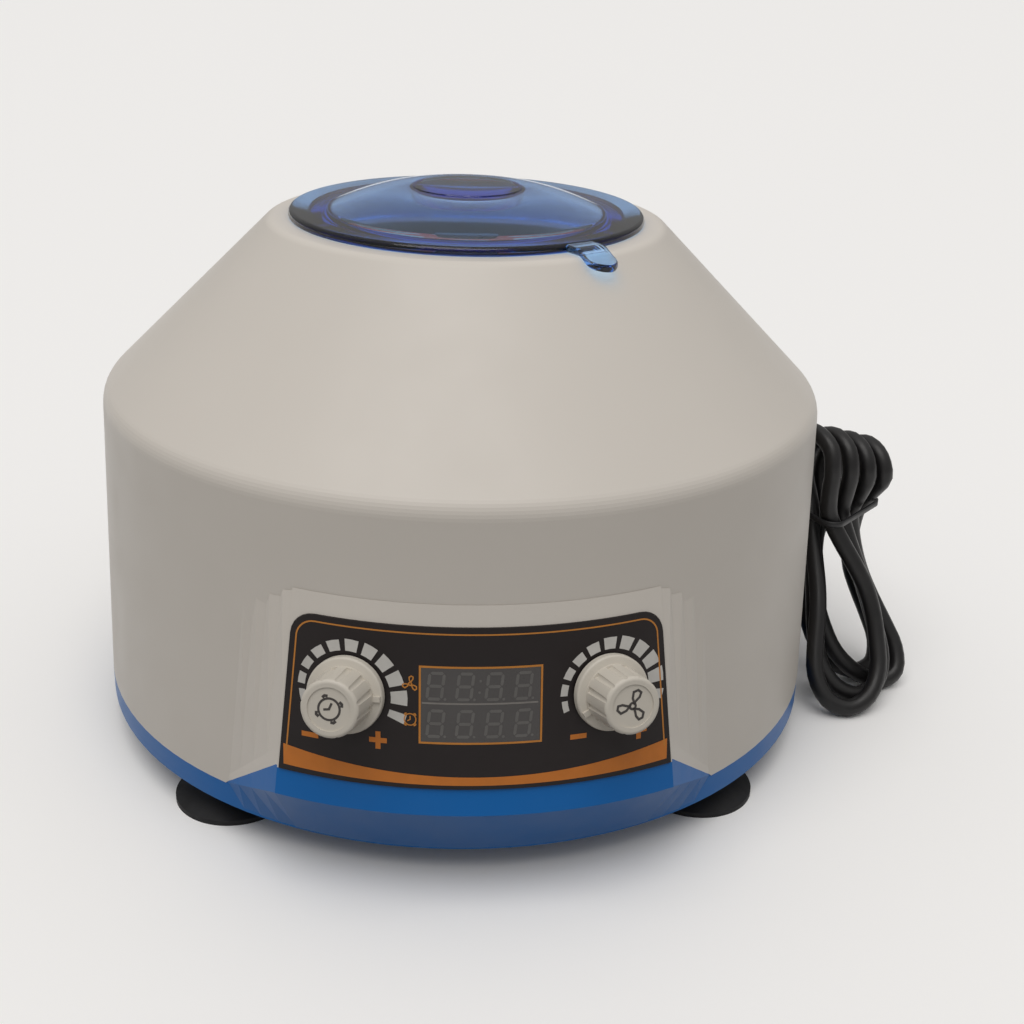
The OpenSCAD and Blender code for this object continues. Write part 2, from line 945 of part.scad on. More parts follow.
module rotor() {
    color("#8f4038")
        difference() {
            rotate_extrude($fn = 180)
                polygon(rounded([
                    [shaft_r + run_gap / 2, rotor_low_z, 0],
                    [hub_r, rotor_low_z, 0],
                    [hub_r + 4, rotor_low_z + 38, 3],
                    [hub_r + 40, rotor_low_z, 0],
                    [rotor_r - 14, rotor_low_z, 2],
                    [rotor_r, rotor_edge_z - 6, 2],
                    [rotor_r, rotor_edge_z, 2],
                    [rotor_top_r, rotor_top_z, 3],
                    [shaft_r + run_gap / 2, rotor_top_z, 0]
                ]));
            for (i = [0 : places - 1])
                at_place(i)
                    translate([0, 0, -sleeve_d - sleeve_t - 0.1])
                        cylinder(h = far / 2, r = sleeve_hole_r);
        }
}

module rotor_nut() {
    color("#2f3236")
        difference() {
            union() {
                translate([0, 0, rotor_top_z])
                    cylinder(h = nut_h, r = nut_grip_r);
                translate([-nut_grip_r, -2, rotor_top_z + nut_h - 1])
                    cube([2 * nut_grip_r, 4, 4]);
            }
            translate([0, 0, rotor_top_z - 1])
                cylinder(h = nut_h - 1.5, r = shaft_r + run_gap / 2);
            for (a = [0 : 45 : 315])
                rotate([0, 0, a + 22.5])
                    translate([nut_grip_r + 0.8, 0, rotor_top_z + 2])
                        cylinder(h = nut_h, r = 1.8);
        }
}

module tube_sleeves() {
    color("#d9d4c6")
        for (i = [0 : places - 1])
            intersection() {
                at_place(i)
                    difference() {
                        translate([0, 0, -sleeve_d - sleeve_t])
                            cylinder(h = sleeve_d + 30, r = sleeve_r + sleeve_t);
                        translate([0, 0, -sleeve_d])
                            cylinder(h = sleeve_d + 40, r = sleeve_r);
                    }
                cylinder(h = rotor_top_z, r = rotor_r);
            }
}

module motor_shaft() {
    color(steel)
        union() {
            translate([0, 0, motor_z + 4])
                cylinder(h = rotor_top_z + nut_h - 4 - motor_z - 3, r = shaft_r);
            translate([0, 0, shaft_collar_z])
                cylinder(h = rotor_low_z - shaft_collar_z, r = shaft_collar_r);
        }
}

module motor() {
    color(steel)
        difference() {
            union() {
                translate([0, 0, motor_z])
                    rotate_extrude()
                        polygon(rounded([
                            [0, 0, 0],
                            [motor_r, 0, 2],
                            [motor_r, motor_h, 3],
                            [motor_boss_r, motor_h, 0],
                            [motor_boss_r, motor_h + motor_boss_h, 1],
                            [0, motor_h + motor_boss_h, 0]
                        ]));
                translate([0, 0, motor_z + motor_h - 9])
                    cylinder(h = 3, r = motor_r + 1.5);
            }
            translate([0, 0, motor_z + 4 - fit_gap])
                cylinder(h = far, r = bore_r);
            for (a = [0 : 30 : 330])
                rotate([0, 0, a])
                    translate([motor_r - 2, -2, motor_z + 8])
                        cube([6, 4, 16]);
            for (a = [45 : 90 : 315])
                rotate([0, 0, a])
                    translate([motor_screw_ring_r, 0, motor_z - 1])
                        cylinder(h = 8, r = screw_hole_r);
        }
}

module motor_plate() {
    color(steel)
        translate([0, 0, plate_z])
            linear_extrude(plate_t)
                difference() {
                    polygon(rounded([
                        [-plate_l / 2, -plate_w / 2, 8],
                        [plate_l / 2, -plate_w / 2, 8],
                        [plate_l / 2, plate_w / 2, 8],
                        [-plate_l / 2, plate_w / 2, 8]
                    ]));
                    circle(r = 12);
                    for (x = [-damper_x, damper_x], y = [-damper_y, damper_y])
                        translate([x, y])
                            circle(r = screw_hole_r);
                    for (a = [45 : 90 : 315])
                        rotate(a)
                            translate([motor_screw_ring_r, 0])
                                circle(r = screw_hole_r);
                }
}

module motor_dampers() {
    color(rubber)
        at_dampers()
            translate([0, 0, floor_z])
                rotate_extrude()
                    polygon(rounded([
                        [screw_hole_r, 0, 0],
                        [damper_r, 0, 0],
                        [damper_r, damper_h / 4, 0.5],
                        [damper_r - 1.6, damper_h / 2, 2],
                        [damper_r, damper_h * 3 / 4, 0.5],
                        [damper_r, damper_h, 0],
                        [screw_hole_r, damper_h, 0]
                    ]));
}

module damper_screws() {
    color(steel)
        at_dampers()
            translate([0, 0, plate_z + plate_t])
                rotate([180, 0, 0])
                    screw(damper_h + plate_t + tray_t - 0.5);
}

module motor_screws() {
    color(steel)
        for (a = [45 : 90 : 315])
            rotate([0, 0, a])
                translate([motor_screw_ring_r, 0, plate_z])
                    screw(plate_t + 6);
}

module power_board() {
    color(green)
        difference() {
            translate([
                power_board_x - power_board_w / 2,
                power_board_y - power_board_l / 2,
                floor_z + standoff_h
            ])
                cube([power_board_w, power_board_l, board_t]);
            at_power_corners()
                translate([0, 0, floor_z + standoff_h - 1])
                    cylinder(h = 4, r = 1.2);
        }
    color(black)
        translate([power_board_x, power_board_y, floor_z + standoff_h + board_t - 0.1]) {
            translate([-14, -4, 0])
                cube([18, 15, 14]);
            translate([12, 0, 0])
                cylinder(h = 18, r = 6);
        }
}

module foot(x, y) {
    color(rubber)
        translate([x * foot_x, y * foot_x, 0])
            rotate_extrude()
                polygon(rounded([
                    [screw_hole_r, foot_h, 0],
                    [foot_top_r, foot_h, 0],
                    [foot_top_r + 2, foot_h / 2, 6],
                    [foot_r, 1.8, 0],
                    [foot_r, 0, 0],
                    [screw_head_r + 1, 0, 0],
                    [screw_head_r + 1, foot_h / 2, 0],
                    [screw_hole_r, foot_h / 2, 0]
                ]));
}

module foot_screws() {
    color(steel)
        at_feet()
            translate([0, 0, foot_h / 2])
                screw(foot_h / 2 + tray_t + foot_boss_h - 2);
}

module housing_screws() {
    color(steel)
        at_pillars()
            translate([0, 0, foot_h + screw_head_h + 0.4])
                screw(rim_h + lip_h + 6);
}

module switch_frame() {
    color(black)
        on_drum(180, switch_z)
            difference() {
                union() {
                    translate([-switch_w / 2, -switch_h / 2, -spot_d])
                        cube([switch_w, switch_h, bezel_t]);
                    translate([-switch_body_w / 2, -switch_body_h / 2, -16])
                        cube([switch_body_w, switch_body_h, 16]);
                    for (y = [-6, 6])
                        translate([-2, y - 0.4, -22])
                            cube([4, 0.8, 7]);
                }
                translate([-rocker_w / 2 - fit_gap, -rocker_r - fit_gap, -pivot_depth - rocker_r - 0.5])
                    cube([rocker_w + 2 * fit_gap, 2 * (rocker_r + fit_gap), 40]);
                translate([0, 0, -pivot_depth])
                    rotate([0, 90, 0])
                        cylinder(h = rocker_w + 3.2, r = 1.5 + run_gap, center = true);
            }
}

module power_rocker() {
    color(black)
        on_drum(180, switch_z)
            translate([0, 0, -pivot_depth])
                rotate([rocker_tilt, 0, 0]) {
                    rotate([90, 0, 90])
                        translate([0, 0, -rocker_w / 2])
                            linear_extrude(rocker_w)
                                polygon(concat(
                                    [for (a = [-rocker_half : 10 : rocker_half]) rocker_r * [cos(a), sin(a)]],
                                    [[0, rocker_r * 0.62]],
                                    [for (a = [180 - rocker_half : 10 : 180 + rocker_half]) rocker_r * [cos(a), sin(a)]],
                                    [[0, -rocker_r * 0.75]]
                                ));
                    rotate([0, 90, 0])
                        cylinder(h = rocker_w + 2.6, r = 1.5, center = true);
                }
}

module cord_gland() {
    color(rubber)
        on_drum(gland_angle, gland_z)
            difference() {
                rotate_extrude()
                    polygon([
                        [0, -wall_t - 6],
                        [gland_r + 1.6, -wall_t - 6],
                        [gland_r + 1.6, -wall_t - 1.2],
                        [gland_r, -wall_t - 1.2],
                        [gland_r, -spot_d],
                        [gland_flange_r, -spot_d],
                        [gland_flange_r, 2],
                        [gland_r + 0.8, 4],
                        [cord_d / 2 + 1.1, gland_l],
                        [0, gland_l]
                    ]);
                for (z = [8 : 5 : 23], a = [0, 180])
                    rotate([0, 0, a + (z % 2) * 90])
                        translate([4.6, -10, z])
                            cube([4, 20, 2]);
            }
}

// Hank: loops hang in layers on a leaning spine that runs through its foot, waist and top
waist = [146, 10.6, 68];
spine_top = [148, 12, 99];
spine_foot = [157, -19, 3.4];
foot_reach = 63;
foot_bend_r = 13;
top_bend_r = 12;
waist_half = 5.5;
layer_step = 9;
foot_turn = 8;
top_turn = -66;
top_reaches = [31, 29, 26, 23];
foot_fans = [-12, -4, 10, 4];
cord_r = cord_d / 2;
hank_end = loops - 0.26;

function smooth(t) = let (c = max(0, min(1, t))) c * c * (3 - 2 * c);

// Half of a lobe that leaves the waist, turns round at its reach and comes back on the other side
function lobe(s, reach, r) =
    let (run = reach - r, arc = PI * r, back = (2 * run + arc - s) / run)
    s < run ? [waist_half + (r - waist_half) * smooth(s / run), s]
    : s < run + arc ? [r * cos((s - run) / r * 180 / PI), run + r * sin((s - run) / r * 180 / PI)]
    : [-waist_half - (r - waist_half) * smooth(back), run * back];

function lobe_length(reach, r) = 2 * (reach - r) + PI * r;

// Spine of the hank at height v over its waist, as a parabola through its three places
spine_bow = ((spine_top - waist) / top_reaches[0] + (spine_foot - waist) / foot_reach)
    / (top_reaches[0] + foot_reach);
spine_slope = (spine_top - waist) / top_reaches[0] - spine_bow * top_reaches[0];

// Centre of the cord after q loops, counted from the top of the first one
function hank_point(q) =
    let (
        i = min(floor(q), loops - 1),
        share = q - i,
        next = min(i + 1, loops - 1),
        top_l = lobe_length(top_reaches[i], top_bend_r),
        foot_l = lobe_length(foot_reach, foot_bend_r),
        s = share * (top_l + foot_l),
        next_l = lobe_length(top_reaches[next], top_bend_r),
        rise = (s - top_l / 2 - foot_l) / (top_l / 2) * next_l / 2,
        down = lobe(top_l / 2 - s, top_reaches[i], top_bend_r),
        low = lobe(s - top_l / 2, foot_reach, foot_bend_r),
        up = lobe(rise, top_reaches[next], top_bend_r),
        uv = s < top_l / 2 ? down : s < top_l / 2 + foot_l ? [low.x, -low.y] : [-up.x, up.y],
        fan = uv.y < 0 ? foot_fans[i] * pow(uv.y / foot_reach, 2) : 0,
        layer = i + smooth((share - 0.6) / 0.4),
        height = (uv.y + foot_reach) / (foot_reach + top_reaches[0]),
        turn = foot_turn + (top_turn - foot_turn) * smooth((height - 0.3) / 0.6),
        across = [cos(turn), sin(turn), 0],
        ahead = [sin(turn), -cos(turn), 0]
    )
    waist + spine_slope * uv.y + spine_bow * uv.y * uv.y
        + across * (uv.x + fan) + ahead * ((loops - 1) / 2 - layer) * layer_step;

// Route of the hank with a straight length of one diameter at both ends
hank_loops = [for (i = [0 : floor(hank_end * loop_rings)]) hank_point(i / loop_rings)];
hank_last = len(hank_loops) - 1;
hank_start = hank_loops[0] - cord_d * [cos(top_turn), sin(top_turn), 0];
hank_finish = hank_loops[hank_last] + cord_d * unit(hank_loops[hank_last] - hank_loops[hank_last - 1]);
hank_route = concat([hank_start], hank_loops, [hank_finish]);

// Free stretches, by hand: from the gland round the back up to the hank, and from it to the plug
plug_place = [164, 181, 9.6];
plug_turn = 63;
tail_route = [
    [78.5, 136, 46], [83.5, 144.6, 46], [91, 154, 48], [104, 158, 52], [117, 151, 58], [126, 136, 66],
    [131, 118, 75], [134, 99, 83], [135.6, 79, 90], [136, 59, 95], [135.6, 40, 98.2], [134, 26, 99],
    hank_start - cord_d * [cos(top_turn), sin(top_turn), 0], hank_start
];
lead_route = [
    hank_finish, 2 * hank_finish - hank_loops[hank_last],
    [137.5, 31, 56], [136, 42, 59], [134, 54, 57], [131.5, 66, 51], [129.5, 78, 42], [129, 90, 32.5],
    [130, 102, 23.5], [133, 114, 15.5], [137.5, 126, 9], [143, 138, 4.8], [149, 150, 3.5],
    [155, 162, 5.5], plug_place - cord_d * [cos(plug_turn), sin(plug_turn), 0], plug_place
];

function length(route) = let (last = len(route) - 1)
    [for (i = [1 : last]) norm(route[i] - route[i - 1])] * [for (i = [1 : last]) 1];

hank_gap = min([for (i = [0 : len(hank_route) - 4], j = [i + 3 : len(hank_route) - 1])
    norm(hank_route[i] - hank_route[j])]) - cord_d;
echo(hank_gap = hank_gap);
echo(cord_length = length(tail_route) + length(hank_route) + length(lead_route));

// Direction of a route at its point i
function heading(route, i) = unit(route[min(i + 1, len(route) - 1)] - route[max(i - 1, 0)]);

// Round tube swept along a route, its rings turned as little as possible from one to the next
module tube(route, sides) {
    last = len(route) - 1;
    normals = [for (
        i = 0, n = unit(cross(heading(route, 0), [0.1, 0.2, 1]));
        i <= last;
        i = i + 1, n = i > last ? n : unit(n - (n * heading(route, i)) * heading(route, i))
    ) n];
    rings = [for (i = [0 : last], k = [0 : sides - 1])
        let (side = cross(heading(route, i), normals[i]), a = 360 * k / sides)
        route[i] + cord_r * (cos(a) * normals[i] + sin(a) * side)];
    skin = [for (i = [0 : last - 1], k = [0 : sides - 1])
        let (p = i * sides + k, q = i * sides + (k + 1) % sides)
        each [[p, p + sides, q], [q, p + sides, q + sides]]];
    start = [for (k = [1 : sides - 2]) [0, k, k + 1]];
    end = [for (k = [1 : sides - 2]) [last * sides, last * sides + k + 1, last * sides + k]];
    polyhedron(rings, concat(skin, start, end));
}

module cord_tail() {
    color(black)
        tube(tail_route, 8);
}

module cord_hank() {
    color(black)
        tube(hank_route, 6);
}

module cord_lead() {
    color(black)
        tube(lead_route, 8);
}

// Places where the loops pass the waist, on the way down and on the way up
function waist_share(i, up) =
    let (top_l = lobe_length(top_reaches[i], top_bend_r), foot_l = lobe_length(foot_reach, foot_bend_r))
    i + (top_l / 2 + up * foot_l) / (top_l + foot_l);

tie_places = concat(
    [for (i = [0 : loops - 1]) hank_point(waist_share(i, 0))],
    [for (i = [0 : loops - 2]) hank_point(waist_share(i, 1))]
);
tie_gap = 1.8;
tie_t = 0.9;
tie_w = 2.4;

module tie_hull(r, h)
    hull()
        for (p = tie_places)
            translate([p.x, p.y, waist.z - h / 2])
                cylinder(h = h, r = r, $fn = 32);

module cord_tie() {
    color(black)
        difference() {
            tie_hull(cord_r + tie_gap + tie_t, tie_w);
            tie_hull(cord_r + tie_gap, tie_w + 2);
        }
}

module plug() {
    body_w = 24;
    body_h = 17;
    body_l = 30;
    relief_l = 14;
    color(black)
        translate(plug_place)
            rotate([0, 0, plug_turn]) {
                rotate([0, 90, 0])
                    cylinder(h = relief_l + 1, r1 = cord_r + 1, r2 = 7);
                translate([relief_l, 0, -body_h / 2])
                    linear_extrude(body_h)
                        polygon(rounded([
                            [0, -8, 3],
                            [9, -body_w / 2, 6],
                            [body_l, -body_w / 2, 2],
                            [body_l, body_w / 2, 2],
                            [9, body_w / 2, 6],
                            [0, 8, 3]
                        ]));
            }
    color(steel)
        translate(plug_place)
            rotate([0, 0, plug_turn])
                for (y = [-6.35, 6.35])
                    translate([relief_l + body_l - 1, y - 0.75, -3.2])
                        cube([18, 1.5, 6.4]);
}

normal_y = cos(knob_turn) * cos(front_tilt);
normal_side = sqrt(1 - normal_y * normal_y);
front_reach = cos(knob_turn) * front_r(knob_z) + normal_y * (knob_lift + knob_h) + grip_top_r * normal_side
    - knob_round * (normal_y + normal_side - 1);
rear_reach = drum_r(switch_z) - pivot_depth + rocker_r * sin(rocker_half + rocker_tilt);
axis_y = (front_reach - rear_reach) / 2;

module on_axis()
    translate([0, axis_y, 0])
        children();

on_axis() base_tray();
on_axis() housing();
on_axis() control_panel();
on_axis() display_window();
on_axis() display_module();
on_axis() control_board();
on_axis() board_screws();
on_axis() time_pot();
on_axis() speed_pot();
on_axis() pot_nuts();
on_axis() time_shaft();
on_axis() speed_shaft();
on_axis() time_knob();
on_axis() speed_knob();
on_axis() lid();
on_axis() bowl();
on_axis() bowl_posts();
on_axis() bowl_screws();
on_axis() rotor();
on_axis() rotor_nut();
on_axis() tube_sleeves();
on_axis() motor_shaft();
on_axis() motor();
on_axis() motor_plate();
on_axis() motor_dampers();
on_axis() damper_screws();
on_axis() motor_screws();
on_axis() power_board();
on_axis() foot(-1, -1);  // foot_front_left
on_axis() foot(1, -1);  // foot_front_right
on_axis() foot(-1, 1);  // foot_rear_left
on_axis() foot(1, 1);  // foot_rear_right
on_axis() foot_screws();
on_axis() housing_screws();
on_axis() switch_frame();
on_axis() power_rocker();
on_axis() cord_gland();
on_axis() cord_tail();
on_axis() cord_hank();
on_axis() cord_tie();
on_axis() cord_lead();
on_axis() plug();
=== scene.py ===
import math
import bmesh
import bpy
from mathutils import Matrix, Vector


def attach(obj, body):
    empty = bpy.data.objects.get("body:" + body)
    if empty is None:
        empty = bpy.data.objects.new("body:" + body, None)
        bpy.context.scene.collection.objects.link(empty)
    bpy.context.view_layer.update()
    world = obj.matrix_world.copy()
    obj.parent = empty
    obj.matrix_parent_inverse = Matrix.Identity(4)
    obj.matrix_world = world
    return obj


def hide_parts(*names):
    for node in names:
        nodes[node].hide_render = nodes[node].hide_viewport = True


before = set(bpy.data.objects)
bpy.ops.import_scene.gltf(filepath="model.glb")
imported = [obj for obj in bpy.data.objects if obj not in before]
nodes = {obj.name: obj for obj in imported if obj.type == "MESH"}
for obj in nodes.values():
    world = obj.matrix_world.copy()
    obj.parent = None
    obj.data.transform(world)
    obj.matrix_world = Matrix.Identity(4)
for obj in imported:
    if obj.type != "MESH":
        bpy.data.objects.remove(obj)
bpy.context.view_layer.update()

scene = bpy.context.scene
scene.view_settings.view_transform = "Standard"

# The drum's axis stands this far behind the frame's origin; lengths below are millimetres about that axis
AXIS_Y = 7.88525
CHIN_R, CHIN_Z, FRONT_TILT = 141.8, 32.3, 12.9165
FRONT_HALF = 25.5
PANEL_T = 0.7
KNOB_X, KNOB_Z = 38.7, 67.0
TOP_Z = 181.3
KNOB_FACE = 1.2 + 16 - 0.4

# Heights at which printed marks lie over the surface that carries them
INK, INK_ON_WINDOW, INK_OVER_EDGE = 0.05, 0.04, 0.07


def place(x, y, z):
    return Vector((x, y + AXIS_Y, z)) / 1000


def front_r(z):
    return CHIN_R - (z - CHIN_Z) * math.tan(math.radians(FRONT_TILT))


def on_panel(lift):
    """Maps x, z as seen from the front onto the panel's face, lifted by a hair."""
    def put(x, z):
        r = front_r(z) + PANEL_T + lift
        return place(x, -math.sqrt(r * r - x * x), z)
    return put


def knob_matrix(side):
    turn = math.asin(KNOB_X / front_r(KNOB_Z)) * side
    return (Matrix.Translation((0, AXIS_Y, 0)) @ Matrix.Rotation(turn, 4, "Z")
            @ Matrix.Translation((0, -front_r(KNOB_Z), KNOB_Z))
            @ Matrix.Rotation(math.radians(90 - FRONT_TILT), 4, "X"))


def on_knob(side, height):
    matrix = knob_matrix(side)
    return lambda x, y: (matrix @ Vector((x, y, height))) / 1000


def link(name, data, body):
    piece = bpy.data.objects.new(name, data)
    scene.collection.objects.link(piece)
    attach(piece, body)
    return piece


# Camera at the photo's viewing angle
CAMERA_PLACE = (-0.0248, -0.4983, 0.2870)
YAW, PITCH, ROLL = math.radians(4.96), math.radians(-23.14), math.radians(1.956)
camera = bpy.data.objects.new("photo_camera", bpy.data.cameras.new("photo_camera"))
scene.collection.objects.link(camera)
camera.data.lens = 51.57
camera.data.sensor_width = 36
camera.data.clip_start = 0.01
ahead = Vector((math.sin(YAW) * math.cos(PITCH), math.cos(YAW) * math.cos(PITCH), math.sin(PITCH)))
right = ahead.cross(Vector((0, 0, 1))).normalized()
up = right.cross(ahead)
tilted_right = right * math.cos(ROLL) + up * math.sin(ROLL)
tilted_up = up * math.cos(ROLL) - right * math.sin(ROLL)
camera.matrix_world = Matrix.Translation(CAMERA_PLACE) @ Matrix(
    (tilted_right, tilted_up, -ahead)).transposed().to_4x4()
scene.camera = camera


# Cord
CORD_D = 6.6
LOOPS, RINGS = 4, 24
WAIST = Vector((146, 10.6, 68))
SPINE_TOP = Vector((148, 12, 99))
SPINE_FOOT = Vector((157, -19, 3.4))
FOOT_REACH, FOOT_BEND_R, TOP_BEND_R, WAIST_HALF = 63.0, 13.0, 12.0, 5.5
LAYER_STEP, FOOT_TURN, TOP_TURN = 9.0, 8.0, -66.0
TOP_REACHES = [31.0, 29.0, 26.0, 23.0]
FOOT_FANS = [-12.0, -4.0, 10.0, 4.0]
HANK_END = LOOPS - 0.26
PLUG_PLACE = Vector((164, 181, 9.6))
PLUG_TURN = math.radians(63)


def smooth(share):
    s = min(max(share, 0.0), 1.0)
    return s * s * (3 - 2 * s)


def lobe(s, reach, r):
    """Place along a loop's end: out beside the waist, round its bend, and back."""
    run, arc = reach - r, math.pi * r
    if s < run:
        return WAIST_HALF + (r - WAIST_HALF) * smooth(s / run), s
    if s < run + arc:
        turn = (s - run) / r
        return r * math.cos(turn), run + r * math.sin(turn)
    back = (2 * run + arc - s) / run
    return -WAIST_HALF - (r - WAIST_HALF) * smooth(back), run * back


def lobe_length(reach, r):
    return 2 * (reach - r) + math.pi * r


# The hank's spine is a parabola through its top, waist and foot
BOW = ((SPINE_TOP - WAIST) / TOP_REACHES[0] + (SPINE_FOOT - WAIST) / FOOT_REACH)
BOW /= TOP_REACHES[0] + FOOT_REACH
SLOPE = (SPINE_TOP - WAIST) / TOP_REACHES[0] - BOW * TOP_REACHES[0]


def hank_point(q):
    """Centre of the cord after q loops of the hank."""
    i = min(math.floor(q), LOOPS - 1)
    share = q - i
    after = min(i + 1, LOOPS - 1)
    top_l = lobe_length(TOP_REACHES[i], TOP_BEND_R)
    foot_l = lobe_length(FOOT_REACH, FOOT_BEND_R)
    s = share * (top_l + foot_l)
    if s < top_l / 2:
        u, v = lobe(top_l / 2 - s, TOP_REACHES[i], TOP_BEND_R)
    elif s < top_l / 2 + foot_l:
        u, v = lobe(s - top_l / 2, FOOT_REACH, FOOT_BEND_R)
        v = -v
    else:
        rise = (s - top_l / 2 - foot_l) / (top_l / 2) * lobe_length(TOP_REACHES[after], TOP_BEND_R) / 2
        u, v = lobe(rise, TOP_REACHES[after], TOP_BEND_R)
        u = -u
    fan = FOOT_FANS[i] * (v / FOOT_REACH) ** 2 if v < 0 else 0.0
    layer = i + smooth((share - 0.6) / 0.4)
    height = (v + FOOT_REACH) / (FOOT_REACH + TOP_REACHES[0])
    turn = math.radians(FOOT_TURN + (TOP_TURN - FOOT_TURN) * smooth((height - 0.3) / 0.6))
    across = Vector((math.cos(turn), math.sin(turn), 0))
    front = Vector((math.sin(turn), -math.cos(turn), 0))
    return (WAIST + SLOPE * v + BOW * v * v + across * (u + fan)
            + front * ((LOOPS - 1) / 2 - layer) * LAYER_STEP)


hank = [hank_point(i / RINGS) for i in range(math.floor(HANK_END * RINGS) + 1)]
top_way = Vector((math.cos(math.radians(TOP_TURN)), math.sin(math.radians(TOP_TURN)), 0))
plug_way = Vector((math.cos(PLUG_TURN), math.sin(PLUG_TURN), 0))
hank_start = hank[0] - top_way * CORD_D
hank_finish = hank[-1] + (hank[-1] - hank[-2]).normalized() * CORD_D
tail = [Vector(p) for p in (
    (78.5, 136, 46), (83.5, 144.6, 46), (91, 154, 48), (104, 158, 52), (117, 151, 58), (126, 136, 66),
    (131, 118, 75), (134, 99, 83), (135.6, 79, 90), (136, 59, 95), (135.6, 40, 98.2), (134, 26, 99))]
tail += [hank_start - top_way * CORD_D, hank_start]
lead = [hank_finish, 2 * hank_finish - hank[-1]]
lead += [Vector(p) for p in (
    (137.5, 31, 56), (136, 42, 59), (134, 54, 57), (131.5, 66, 51), (129.5, 78, 42), (129, 90, 32.5),
    (130, 102, 23.5), (133, 114, 15.5), (137.5, 126, 9), (143, 138, 4.8), (149, 150, 3.5), (155, 162, 5.5))]
lead += [PLUG_PLACE - plug_way * CORD_D, PLUG_PLACE]


def spline_through(points, steps):
    """Centripetal curve through the points, so that bends stay round between them."""
    out = []
    for i in range(len(points) - 1):
        p0 = points[max(i - 1, 0)]
        p1, p2 = points[i], points[i + 1]
        p3 = points[min(i + 2, len(points) - 1)]
        a = max((p1 - p0).length, 1e-3) ** 0.5
        b = max((p2 - p1).length, 1e-3) ** 0.5
        c = max((p3 - p2).length, 1e-3) ** 0.5
        m1 = (p2 - p1) + b * ((p1 - p0) / a - (p2 - p0) / (a + b)) if i > 0 else (p2 - p1)
        m2 = (p2 - p1) + b * ((p3 - p2) / c - (p3 - p1) / (b + c)) if i < len(points) - 2 else (p2 - p1)
        for k in range(steps):
            t = k / steps
            out.append((2 * t ** 3 - 3 * t * t + 1) * p1 + (t ** 3 - 2 * t * t + t) * m1
                       + (3 * t * t - 2 * t ** 3) * p2 + (t ** 3 - t * t) * m2)
    out.append(points[-1])
    return out


route = tail + hank + lead
route = [place(*p) for p in spline_through(route, 3)]
cord_curve = bpy.data.curves.new("mains_cord", "CURVE")
cord_curve.dimensions = "3D"
cord_curve.bevel_depth = 1.0
cord_curve.bevel_resolution = 5
cord_curve.use_fill_caps = True
cord_line = cord_curve.splines.new("POLY")
cord_line.points.add(len(route) - 1)
for point, where in zip(cord_line.points, route):
    point.co = (*where, 1)
    point.radius = CORD_D / 2000
cord = link("mains_cord", cord_curve, "base")
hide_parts("cord_tail", "cord_hank", "cord_lead")


# Materials
def srgb(r, g, b):
    def line(v):
        v /= 255
        return v / 12.92 if v <= 0.04045 else ((v + 0.055) / 1.055) ** 2.4
    return line(r), line(g), line(b), 1.0


class Paint:
    """A node material that starts from one Principled shader and gathers its surface detail."""

    def __init__(self, name, colour, rough, metal=0.0, specular=0.5, coat=0.0):
        self.material = bpy.data.materials.new(name)
        self.material.use_nodes = True
        self.tree = self.material.node_tree
        self.shader = self.tree.nodes["Principled BSDF"]
        self.set("Base Color", colour)
        self.set("Roughness", rough)
        self.set("Metallic", metal)
        self.set("Specular IOR Level", specular)
        self.set("Coat Weight", coat)
        self.rough = rough
        self.colour = colour
        self.coords = self.node("ShaderNodeTexCoord").outputs["Object"]
        self.height = None

    def set(self, name, value):
        self.shader.inputs[name].default_value = value

    def node(self, kind, **settings):
        made = self.tree.nodes.new(kind)
        for key, value in settings.items():
            setattr(made, key, value)
        return made

    def wire(self, out, into):
        self.tree.links.new(out, into)

    def noise(self, scale, detail=3.0, stretch=None):
        made = self.node("ShaderNodeTexNoise")
        made.inputs["Scale"].default_value = scale
        made.inputs["Detail"].default_value = detail
        source = self.coords
        if stretch:
            mapping = self.node("ShaderNodeMapping")
            mapping.inputs["Scale"].default_value = stretch
            self.wire(source, mapping.inputs["Vector"])
            source = mapping.outputs["Vector"]
        self.wire(source, made.inputs["Vector"])
        return made.outputs["Fac"]

    def ramp(self, source, stops):
        made = self.node("ShaderNodeValToRGB")
        ramp = made.color_ramp
        for element, (at, colour) in zip(ramp.elements, stops):
            element.position = at
            element.color = (*colour, 1)
        self.wire(source, made.inputs["Fac"])
        return made.outputs["Color"]

    def mottle(self, scale, amount, detail=4.0, stretch=None):
        """Slow variation of the base colour by the given share to both sides."""
        dark = tuple(max(c * (1 - amount), 0) for c in self.colour[:3])
        pale = tuple(min(c * (1 + amount), 1) for c in self.colour[:3])
        self.wire(self.ramp(self.noise(scale, detail, stretch), [(0.3, dark), (0.7, pale)]),
                  self.shader.inputs["Base Color"])
        return self

    def wear(self, scale, amount, detail=4.0, stretch=None):
        """Variation of the roughness by the given amount to both sides."""
        made = self.node("ShaderNodeMapRange")
        made.inputs["From Min"].default_value = 0.3
        made.inputs["From Max"].default_value = 0.7
        made.inputs["To Min"].default_value = max(self.rough - amount, 0.02)
        made.inputs["To Max"].default_value = min(self.rough + amount, 1.0)
        self.wire(self.noise(scale, detail, stretch), made.inputs["Value"])
        self.wire(made.outputs["Result"], self.shader.inputs["Roughness"])
        return self

    def bump(self, scale, distance, strength, detail, stretch=None):
        """One layer of relief over those before it."""
        made = self.node("ShaderNodeBump")
        made.inputs["Strength"].default_value = strength
        made.inputs["Distance"].default_value = distance
        self.wire(self.noise(scale, detail, stretch), made.inputs["Height"])
        if self.height:
            self.wire(self.height, made.inputs["Normal"])
        self.height = made.outputs["Normal"]
        self.wire(self.height, self.shader.inputs["Normal"])
        return self


def dress(material, *names):
    for name in names:
        data = nodes[name].data
        data.materials.clear()
        data.materials.append(material)


